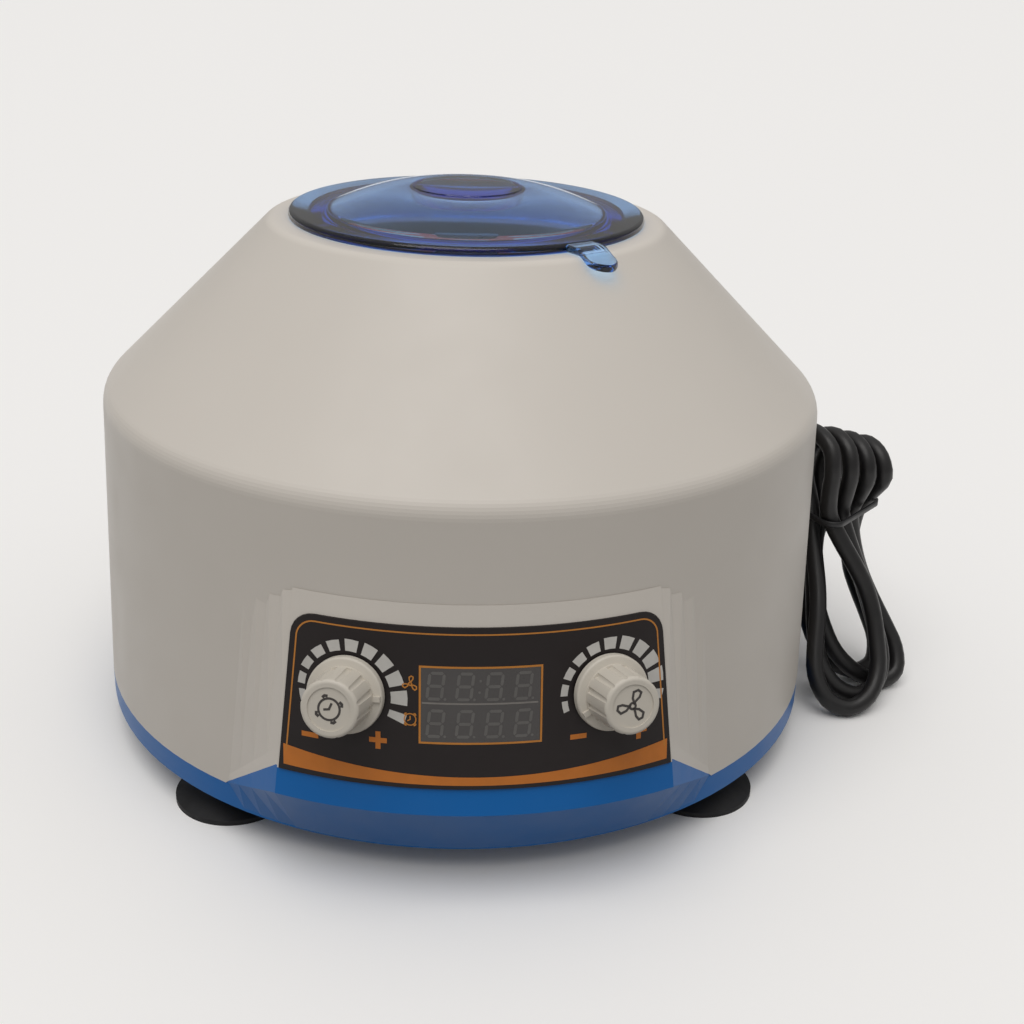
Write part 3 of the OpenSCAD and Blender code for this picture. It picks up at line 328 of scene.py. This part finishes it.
white = Paint("white_housing", srgb(214, 208, 200), 0.42, specular=0.45)
white.mottle(18, 0.012).wear(60, 0.05).bump(2600, 0.00002, 0.35, 2).bump(90, 0.00006, 0.25, 2)

blue = Paint("blue_tray", srgb(8, 102, 178), 0.36, specular=0.28)
blue.mottle(25, 0.03).wear(45, 0.06).bump(2200, 0.00002, 0.3, 2)

film = Paint("panel_film", srgb(32, 26, 26), 0.5, specular=0.28)
film.mottle(70, 0.05).wear(180, 0.05).bump(5200, 0.000015, 0.4, 1)

window = Paint("window_plastic", srgb(70, 67, 66), 0.24, specular=0.5)
window.mottle(30, 0.05).wear(90, 0.05).bump(300, 0.000008, 0.2, 1)

knob_white = Paint("knob_plastic", srgb(205, 199, 188), 0.45, specular=0.45)
knob_white.mottle(140, 0.015).wear(260, 0.06).bump(3600, 0.00002, 0.4, 2)

rubber = Paint("black_rubber", srgb(26, 26, 28), 0.62, specular=0.35)
rubber.mottle(120, 0.12).wear(200, 0.08).bump(2400, 0.00004, 0.5, 3)

sheath = Paint("cord_sheath", srgb(25, 24, 25), 0.4, specular=0.45)
sheath.mottle(160, 0.1).wear(150, 0.08).bump(1800, 0.00003, 0.35, 2)

black_plastic = Paint("black_plastic", srgb(32, 32, 34), 0.38, specular=0.45)
black_plastic.mottle(110, 0.06).wear(220, 0.08).bump(3200, 0.00002, 0.4, 2)

steel = Paint("steel", srgb(172, 174, 176), 0.32, metal=1.0)
steel.mottle(300, 0.05).wear(700, 0.1).bump(2500, 0.00001, 0.3, 2)

bowl_metal = Paint("bowl_metal", srgb(150, 153, 156), 0.36, metal=1.0)
bowl_metal.mottle(40, 0.06).wear(300, 0.1, 3, (1, 1, 12)).bump(900, 0.00001, 0.3, 2, (1, 1, 10))

board = Paint("board_green", srgb(38, 96, 60), 0.42)
board.mottle(260, 0.15).wear(400, 0.08).bump(1500, 0.00003, 0.4, 2)

sleeve = Paint("sleeve_plastic", srgb(212, 206, 190), 0.4)
sleeve.mottle(90, 0.04).wear(150, 0.06).bump(2600, 0.00002, 0.3, 2)

# Rotor: red-brown moulding
rotor_paint = Paint("rotor_plastic", srgb(206, 82, 62), 0.4)
rotor_paint.mottle(60, 0.08).wear(130, 0.08).bump(1900, 0.00003, 0.35, 3)

dark_nut = Paint("rotor_nut", srgb(48, 50, 54), 0.4)
dark_nut.mottle(120, 0.08).wear(240, 0.08).bump(2600, 0.00002, 0.35, 2)

# Lid: clear blue plastic that takes its depth of colour from the way light travels in it
lid_paint = Paint("lid_plastic", srgb(226, 240, 252), 0.05)
lid_paint.set("Transmission Weight", 1.0)
lid_paint.set("IOR", 1.49)
lid_paint.set("Specular IOR Level", 0.22)
lid_paint.bump(45, 0.00006, 0.2, 2).bump(900, 0.000008, 0.15, 2)
absorb = lid_paint.node("ShaderNodeVolumeAbsorption")
absorb.inputs["Color"].default_value = (0.04, 0.44, 0.84, 1)
absorb.inputs["Density"].default_value = 150
lid_out = lid_paint.tree.nodes["Material Output"]
lid_paint.wire(absorb.outputs["Volume"], lid_out.inputs["Volume"])
shade = lid_paint.node("ShaderNodeBsdfTransparent")
shade.inputs["Color"].default_value = (0.72, 0.86, 0.97, 1)
either = lid_paint.node("ShaderNodeMixShader")
lid_paint.wire(lid_paint.node("ShaderNodeLightPath").outputs["Is Shadow Ray"], either.inputs["Fac"])
lid_paint.wire(lid_paint.shader.outputs["BSDF"], either.inputs[1])
lid_paint.wire(shade.outputs["BSDF"], either.inputs[2])
lid_paint.wire(either.outputs["Shader"], lid_out.inputs["Surface"])

dress(white.material, "housing")
dress(blue.material, "base_tray")
dress(film.material, "control_panel")
dress(window.material, "display_window")
dress(knob_white.material, "time_knob", "speed_knob")
dress(rubber.material, "foot_front_left", "foot_front_right", "foot_rear_left", "foot_rear_right",
      "motor_dampers", "cord_gland")
dress(black_plastic.material, "switch_frame", "power_rocker", "display_module", "plug")
dress(steel.material, "board_screws", "time_pot", "speed_pot", "pot_nuts", "time_shaft", "speed_shaft",
      "bowl_posts", "bowl_screws", "motor_shaft", "motor", "motor_plate", "damper_screws", "motor_screws",
      "foot_screws", "housing_screws")
dress(bowl_metal.material, "bowl")
dress(board.material, "control_board", "power_board")
dress(sleeve.material, "tube_sleeves")
dress(rotor_paint.material, "rotor")
dress(dark_nut.material, "rotor_nut")


# Lid
LID_BOTTOM, PLUG_R, FLANGE_R, FLANGE_TOP = TOP_Z - 9, 53.3, 61.2, TOP_Z + 3
CROWN_R, BOSS_R, CROWN_H, CROWN_T = 47.8, 19.0, 7.2, 2.6
TAB_ANGLE, TAB_HALF, TAB_TIP = math.radians(33), 5.5, 76.8


def crown(r):
    return FLANGE_TOP + CROWN_H * math.sin(math.pi / 2 * (CROWN_R - r) / (CROWN_R - BOSS_R))


radii = [BOSS_R + (CROWN_R - BOSS_R) * i / 24 for i in range(25)]
boss_top = FLANGE_TOP + CROWN_H + 0.4
outline = [(0, boss_top), (BOSS_R - 1.2, boss_top), (BOSS_R - 0.3, boss_top - 0.1)]
outline += [(r, crown(r)) for r in radii]
outline += [(FLANGE_R - 1.6 + 1.6 * math.sin(a), FLANGE_TOP - 1.6 + 1.6 * math.cos(a))
            for a in [math.pi / 2 * i / 6 for i in range(7)]]
outline += [(FLANGE_R, TOP_Z + 0.7), (FLANGE_R - 0.2, TOP_Z + 0.2), (FLANGE_R - 0.7, TOP_Z),
            (PLUG_R + 0.4, TOP_Z),
            (PLUG_R, TOP_Z - 0.4), (PLUG_R, LID_BOTTOM + 0.8), (PLUG_R - 0.8, LID_BOTTOM),
            (CROWN_R + 0.6, LID_BOTTOM), (CROWN_R, LID_BOTTOM + 0.6), (CROWN_R, TOP_Z)]
outline += [(r - 0.4, crown(r) - CROWN_T) for r in reversed(radii[1:])]
outline += [(BOSS_R - 0.6, boss_top - 5.6), (BOSS_R - 1.6, boss_top - 6.2), (0, boss_top - 6.2)]
lid_mesh = bpy.data.meshes.new("clear_lid")
build = bmesh.new()
SPOKES = 144
turns = [(math.sin(math.tau * k / SPOKES), -math.cos(math.tau * k / SPOKES)) for k in range(SPOKES)]
rings = []
for r, z in outline:
    if r == 0:
        rings.append([build.verts.new(place(0, 0, z))] * SPOKES)
    else:
        rings.append([build.verts.new(place(r * sx, r * sy, z)) for sx, sy in turns])
for upper, lower in zip(rings, rings[1:]):
    for k in range(SPOKES):
        corners = [upper[k], lower[k], lower[(k + 1) % SPOKES], upper[(k + 1) % SPOKES]]
        build.faces.new(list(dict.fromkeys(corners)))
# The lifting tab dips over the collar's edge and ends round
reach = [60.9, 63, 65, 67, 68.5, 70, 71.5, 73, 74.5, 75.5, 76.2, 76.6, TAB_TIP - 0.02]
out_way = Vector((math.sin(TAB_ANGLE), -math.cos(TAB_ANGLE)))
side_way = Vector((math.cos(TAB_ANGLE), math.sin(TAB_ANGLE)))
sections = []
for r in reach:
    past = max(r - (TAB_TIP - TAB_HALF), 0)
    wide = math.sqrt(max(TAB_HALF ** 2 - past ** 2, 0.02))
    sink = 2.9 * smooth((r - 66.5) / 6.5) + 0.75 * max(r - 73, 0) / 3.8
    z0, z1 = TOP_Z + 0.35 - sink, TOP_Z + 2.7 - sink
    soft = min(0.5, wide * 0.4)
    flat = [(-wide, z0 + soft), (-wide + soft, z0), (wide - soft, z0), (wide, z0 + soft),
            (wide, z1 - soft), (wide - soft, z1), (-wide + soft, z1), (-wide, z1 - soft)]
    sections.append([build.verts.new(place(out_way.x * r + side_way.x * w, out_way.y * r + side_way.y * w, z))
                     for w, z in flat])
for near, further in zip(sections, sections[1:]):
    for k in range(8):
        build.faces.new([near[k], near[(k + 1) % 8], further[(k + 1) % 8], further[k]])
build.faces.new(sections[0][::-1])
build.faces.new(sections[-1])
bmesh.ops.recalc_face_normals(build, faces=build.faces)
build.to_mesh(lid_mesh)
build.free()
lid_mesh.materials.append(lid_paint.material)
for face in lid_mesh.polygons:
    face.use_smooth = True
lid_mesh.set_sharp_from_angle(angle=math.radians(38))
lid = link("clear_lid", lid_mesh, "lid")
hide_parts("lid")
cord_curve.materials.append(sheath.material)


# Flat marks
def circle(x, y, r, n):
    return [(x + r * math.cos(math.tau * i / n), y + r * math.sin(math.tau * i / n)) for i in range(n)]


def stroke(points, width, closed=False):
    """Quads along a line of points, mitred at its bends."""
    p = [Vector(q) for q in points]
    n = len(p)
    left, right_side = [], []
    for i in range(n):
        before = p[(i - 1) % n] if closed or i > 0 else None
        after = p[(i + 1) % n] if closed or i < n - 1 else None
        a = (p[i] - before).normalized() if before is not None else (after - p[i]).normalized()
        b = (after - p[i]).normalized() if after is not None else a
        way = (a + b).normalized() if (a + b).length > 1e-6 else a
        side = Vector((-way.y, way.x))
        reach = width / 2 / max(side.dot(Vector((-a.y, a.x))), 0.4)
        left.append(p[i] + side * reach)
        right_side.append(p[i] - side * reach)
    last = n if closed else n - 1
    return [[right_side[i], right_side[(i + 1) % n], left[(i + 1) % n], left[i]] for i in range(last)]


def band(low, high):
    """Quads between two lines with equally many points, both running to the right."""
    return [[low[i], low[i + 1], high[i + 1], high[i]] for i in range(len(low) - 1)]


def turned(polygons, x, y, degrees, scale=1.0):
    c, s = math.cos(math.radians(degrees)) * scale, math.sin(math.radians(degrees)) * scale
    return [[(x + p[0] * c - p[1] * s, y + p[0] * s + p[1] * c) for p in polygon] for polygon in polygons]


def marks(name, polygons, put, body, material):
    mesh = bpy.data.meshes.new(name)
    build = bmesh.new()
    for polygon in polygons:
        build.faces.new([build.verts.new(put(q[0], q[1])) for q in polygon])
    bmesh.ops.remove_doubles(build, verts=build.verts, dist=1e-7)
    build.to_mesh(mesh)
    build.free()
    mesh.materials.append(material)
    return link(name, mesh, body)


def ink(name, colour, rough=0.5):
    made = Paint(name, colour, rough, specular=0.4)
    made.mottle(220, 0.05).wear(400, 0.06).bump(4200, 0.00001, 0.3, 1)
    return made.material


gold = ink("ink_gold", srgb(190, 124, 52), 0.42)
orange = ink("ink_orange", srgb(196, 116, 44), 0.45)
pale = ink("ink_pale", srgb(196, 194, 190), 0.5)
grey = ink("ink_dark", srgb(66, 62, 60), 0.5)
digit = ink("digit_off", srgb(98, 96, 94), 0.4)
digit_line = ink("digit_divider", srgb(126, 122, 118), 0.4)


def line_at(z0, z1, x0, x1, n=24):
    return [(x0 + (x1 - x0) * i / n, z0 + (z1 - z0) * i / n) for i in range(n + 1)]


def edge_x(z, inset):
    """Half width of the panel at height z, set in along the face."""
    return front_r(z) * math.sin(math.radians(FRONT_HALF - 0.2)) - inset


# Gold line inside the panel's edge, round its upper corners
GOLD_IN, TURN_R = 1.9, 5.6
high_z = 88.7 - GOLD_IN
line = [(-edge_x(z, GOLD_IN), z) for z in [46.6 + (high_z - TURN_R - 46.6) * i / 12 for i in range(13)]]
cx = edge_x(high_z - TURN_R, GOLD_IN) - TURN_R
line += [(-cx + TURN_R * math.cos(math.radians(a)), high_z - TURN_R + TURN_R * math.sin(math.radians(a)))
         for a in range(170, 85, -10)]
line += [(-cx + 2 * cx * i / 40, high_z) for i in range(1, 40)]
line += [(-p[0], p[1]) for p in reversed(line[:22])]
marks("panel_gold_line", stroke(line, 0.45), on_panel(INK), "base", gold)

# Orange sweep along the panel's foot, slender in the middle
steps = [i / 32 for i in range(-32, 33)]
half = edge_x(44, 1.3)
low = [(half * t, 42.0 + 0.5 * t * t) for t in steps]
high = [(half * t, 44.5 + 4.2 * t * t) for t in steps]
marks("panel_orange_sweep", band(low, high), on_panel(INK), "base", orange)

# Growing scales round both knobs
for side, name in ((-1, "time"), (1, "speed")):
    blocks = []
    for i in range(11):
        middle = 190 - 209 * i / 10 if side < 0 else 192 - 205 * i / 10
        inner, outer = 12.7, 12.7 + 1.8 + 3.4 * i / 10
        width = math.degrees((1.55 + 0.15 * i / 10) / 12.7) * (0.62 if i == 10 else 1)
        for k in range(2):
            a0 = middle - width + width * k
            a1 = a0 + width
            blocks.append([(side * KNOB_X + r * math.cos(math.radians(a)),
                            KNOB_Z + r * math.sin(math.radians(a)))
                           for r, a in ((inner, a0), (outer, a0), (outer, a1), (inner, a1))])
    marks(f"{name}_scale", blocks, on_panel(INK), "base", pale)


def plus(x, z, size, thick):
    return [[(x - size, z - thick), (x - thick, z - thick), (x - thick, z + thick), (x - size, z + thick)],
            [(x + thick, z - thick), (x + size, z - thick), (x + size, z + thick), (x + thick, z + thick)],
            [(x - thick, z - size), (x + thick, z - size), (x + thick, z + size), (x - thick, z + size)]]


def minus(x, z, size, thick):
    return [[(x - size, z - thick), (x + size, z - thick), (x + size, z + thick), (x - size, z + thick)]]


marks("plus_and_minus", minus(-50, 53, 2.5, 0.75) + plus(-29.8, 54.4, 2.6, 0.75)
      + minus(29.6, 54.8, 2.5, 0.75) + plus(48.6, 53.4, 2.6, 0.75), on_panel(INK), "base", orange)


# Display: gold frame, a line between its two rows, and digits that are off
frame_line = [(-17.6, 54.7), (18.2, 54.7), (18.2, 77.2), (-17.6, 77.2)]
frame_line = [(a[0] + (b[0] - a[0]) * k / 8, a[1] + (b[1] - a[1]) * k / 8)
              for a, b in zip(frame_line, frame_line[1:] + frame_line[:1]) for k in range(8)]
marks("display_frame", stroke(frame_line, 0.6, True), on_panel(INK_OVER_EDGE), "base", gold)
marks("display_divider", band(line_at(66.25, 66.25, -17.0, 17.2), line_at(66.75, 66.75, -17.0, 17.2)),
      on_panel(INK_ON_WINDOW), "base", digit_line)


def seven(x, z, w=4.2, h=7.6, lean=0.12, thick=0.92):
    """The seven bars of one digit, leaning to the right, and its point."""
    bars = []
    gap = 0.16

    def bar(x0, z0, x1, z1):
        a, b = Vector((x0, z0)), Vector((x1, z1))
        way = (b - a).normalized()
        side = Vector((-way.y, way.x)) * thick / 2
        a, b = a + way * gap, b - way * gap
        tip = way * thick / 2
        corners = [a, a + tip - side, b - tip - side, b, b - tip + side, a + tip + side]
        bars.append([(x + c.x + c.y * lean, z + c.y) for c in corners])

    for level in (-1, 0, 1):
        bar(-w / 2, level * h / 2, w / 2, level * h / 2)
    for left_or_right in (-1, 1):
        for level in (-1, 0):
            bar(left_or_right * w / 2, level * h / 2, left_or_right * w / 2, (level + 1) * h / 2)
    bars.append(circle(x + w / 2 + 1.1 - h / 2 * lean, z - h / 2, 0.42, 12))
    return bars


digits = []
for z in (71.6, 60.5):
    for x in (-13.0, -4.4, 4.2, 12.8):
        digits += seven(x, z)
digits += [circle(0.1, 73.3, 0.4, 12), circle(-0.2, 69.9, 0.4, 12)]
marks("display_digits", digits, on_panel(INK_ON_WINDOW), "base", digit)


def fan(width):
    """Outline of a small fan, one unit in radius."""
    shape = stroke(circle(0, 0, 0.2, 20), width * 0.5, True)
    for i in range(3):
        blade = [(0.12, 0.18), (0.02, 0.5), (0.1, 0.9), (0.42, 0.98), (0.62, 0.8), (0.5, 0.52), (0.28, 0.34)]
        smooth_blade = []
        for k, p in enumerate(blade):
            q = blade[(k + 1) % len(blade)]
            smooth_blade += [p, ((p[0] + q[0]) / 2, (p[1] + q[1]) / 2)]
        shape += turned(stroke(smooth_blade, width * 0.5, True), 0, 0, i * 120)
    return shape


def clock(width):
    """Outline of a small alarm clock, one unit in radius."""
    shape = stroke(circle(0, 0, 0.74, 32), width * 0.5, True)
    shape += stroke([(0, 0.46), (0, 0), (-0.34, -0.2)], width * 0.5)
    for angle in (48, 132, 228, 312):
        c, s = math.cos(math.radians(angle)), math.sin(math.radians(angle))
        shape += stroke([(c * 0.88 - s * 0.2, s * 0.88 + c * 0.2), (c * 0.97, s * 0.97),
                         (c * 0.88 + s * 0.2, s * 0.88 - c * 0.2)], width * 0.62)
    return shape


marks("display_fan_icon", turned(fan(0.34), -20.4, 71.9, 15, 2.2), on_panel(INK), "base", gold)
marks("display_clock_icon", turned(clock(0.3), -20.4, 61.4, 0, 2.3), on_panel(INK), "base", gold)

# Clock and fan on the knobs' faces
marks("time_knob_icon", turned(clock(0.32), 0, 0, -20, 4.3), on_knob(-1, KNOB_FACE + INK), "time_dial", grey)
marks("speed_knob_icon", turned(fan(0.32), 0, 0, 0, 4.6), on_knob(1, KNOB_FACE + INK), "speed_dial", grey)

# Tie round the hank
def waist_points():
    found = []
    for i in range(len(hank) - 1):
        a, b = hank[i], hank[i + 1]
        if (a.z - WAIST.z) * (b.z - WAIST.z) <= 0 and a.z != b.z:
            found.append(a + (b - a) * (WAIST.z - a.z) / (b.z - a.z))
    return found


def convex(points):
    points = sorted(set(points))

    def half_hull(row):
        out = []
        for p in row:
            while len(out) > 1 and ((out[-1][0] - out[-2][0]) * (p[1] - out[-2][1])
                                    - (out[-1][1] - out[-2][1]) * (p[0] - out[-2][0])) <= 0:
                out.pop()
            out.append(p)
        return out[:-1]
    return half_hull(points) + half_hull(points[::-1])


ring = convex([(round(p.x + CORD_D / 2 * math.cos(a), 4), round(p.y + CORD_D / 2 * math.sin(a), 4))
               for p in waist_points() for a in [math.tau * k / 48 for k in range(48)]])
tie_mesh = bpy.data.meshes.new("cord_tie_band")
build = bmesh.new()
count = len(ring)
profile = [(1.35, -1.15), (1.75, -1.2), (2.15, -1.0), (2.15, 1.0), (1.75, 1.2), (1.35, 1.15)]
rows = []
for i in range(count):
    a, b = Vector(ring[(i - 1) % count]), Vector(ring[(i + 1) % count])
    way = (b - a).normalized()
    out = Vector((way.y, -way.x))
    rows.append([build.verts.new(place(ring[i][0] + out.x * r, ring[i][1] + out.y * r, WAIST.z + z))
                 for r, z in profile])
for i in range(count):
    for k in range(len(profile)):
        after = (k + 1) % len(profile)
        build.faces.new([rows[i][k], rows[(i + 1) % count][k], rows[(i + 1) % count][after], rows[i][after]])
build.to_mesh(tie_mesh)
build.free()
tie_mesh.materials.append(black_plastic.material)
for face in tie_mesh.polygons:
    face.use_smooth = True
tie = link("cord_tie_band", tie_mesh, "base")
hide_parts("cord_tie")


# Floor and light: the floor looks pale, and sends little light up to the walls
BOUNCE, SEEN_FLOOR = (0.22, 0.217, 0.213, 1), (0.95, 0.95, 0.95, 1)
HORIZON, ZENITH = 0.2, 0.72


def any_ray(tree, *kinds):
    """One where the ray is of any of the kinds."""
    light_path = tree.nodes.new("ShaderNodeLightPath")
    total = light_path.outputs[kinds[0]]
    for kind in kinds[1:]:
        add = tree.nodes.new("ShaderNodeMath")
        add.operation = "ADD"
        add.use_clamp = True
        tree.links.new(total, add.inputs[0])
        tree.links.new(light_path.outputs[kind], add.inputs[1])
        total = add.outputs["Value"]
    return total


floor_mesh = bpy.data.meshes.new("studio_floor")
build = bmesh.new()
corners = [build.verts.new((x * 9, y * 9 + 3, 0)) for x, y in ((-1, -1), (1, -1), (1, 1), (-1, 1))]
build.faces.new(corners)
bmesh.ops.subdivide_edges(build, edges=build.edges, cuts=6, use_grid_fill=True)
build.to_mesh(floor_mesh)
build.free()
floor = bpy.data.objects.new("studio_floor", floor_mesh)
scene.collection.objects.link(floor)
floor_paint = Paint("studio_floor", srgb(250, 250, 250), 0.8, specular=0.1)
seen = any_ray(floor_paint.tree, "Is Camera Ray", "Is Glossy Ray", "Is Transmission Ray")
pick = floor_paint.node("ShaderNodeMix", data_type="RGBA")
pick.inputs[6].default_value = BOUNCE
pick.inputs[7].default_value = SEEN_FLOOR
floor_paint.wire(seen, pick.inputs[0])
floor_paint.wire(pick.outputs[2], floor_paint.shader.inputs["Base Color"])
floor_paint.bump(60, 0.0002, 0.05, 2)
floor_mesh.materials.append(floor_paint.material)

world = bpy.data.worlds.new("studio")
scene.world = world
world.use_nodes = True
tree = world.node_tree
back = tree.nodes["Background"]
coords = tree.nodes.new("ShaderNodeTexCoord")
split = tree.nodes.new("ShaderNodeSeparateXYZ")
tree.links.new(coords.outputs["Generated"], split.inputs["Vector"])
rise = tree.nodes.new("ShaderNodeMapRange")
rise.inputs["From Min"].default_value = -0.1
rise.inputs["From Max"].default_value = 1.0
rise.inputs["To Min"].default_value = HORIZON
rise.inputs["To Max"].default_value = ZENITH
tree.links.new(split.outputs["Z"], rise.inputs["Value"])
level = tree.nodes.new("ShaderNodeMix")
level.data_type = "FLOAT"
tree.links.new(any_ray(tree, "Is Camera Ray", "Is Transmission Ray"), level.inputs[0])
tree.links.new(rise.outputs["Result"], level.inputs[2])
level.inputs[3].default_value = 1.0
tree.links.new(level.outputs[0], back.inputs["Strength"])
back.inputs["Color"].default_value = (1.0, 0.985, 0.965, 1)


lamp = bpy.data.lights.new("top_light", "SUN")
lamp.energy = 1.15
lamp.angle = math.radians(50)
lamp.color = (1.0, 0.975, 0.95)
holder = bpy.data.objects.new("top_light", lamp)
scene.collection.objects.link(holder)
holder.rotation_euler = Vector((-0.15, -0.35, 1.0)).to_track_quat("Z", "Y").to_euler()
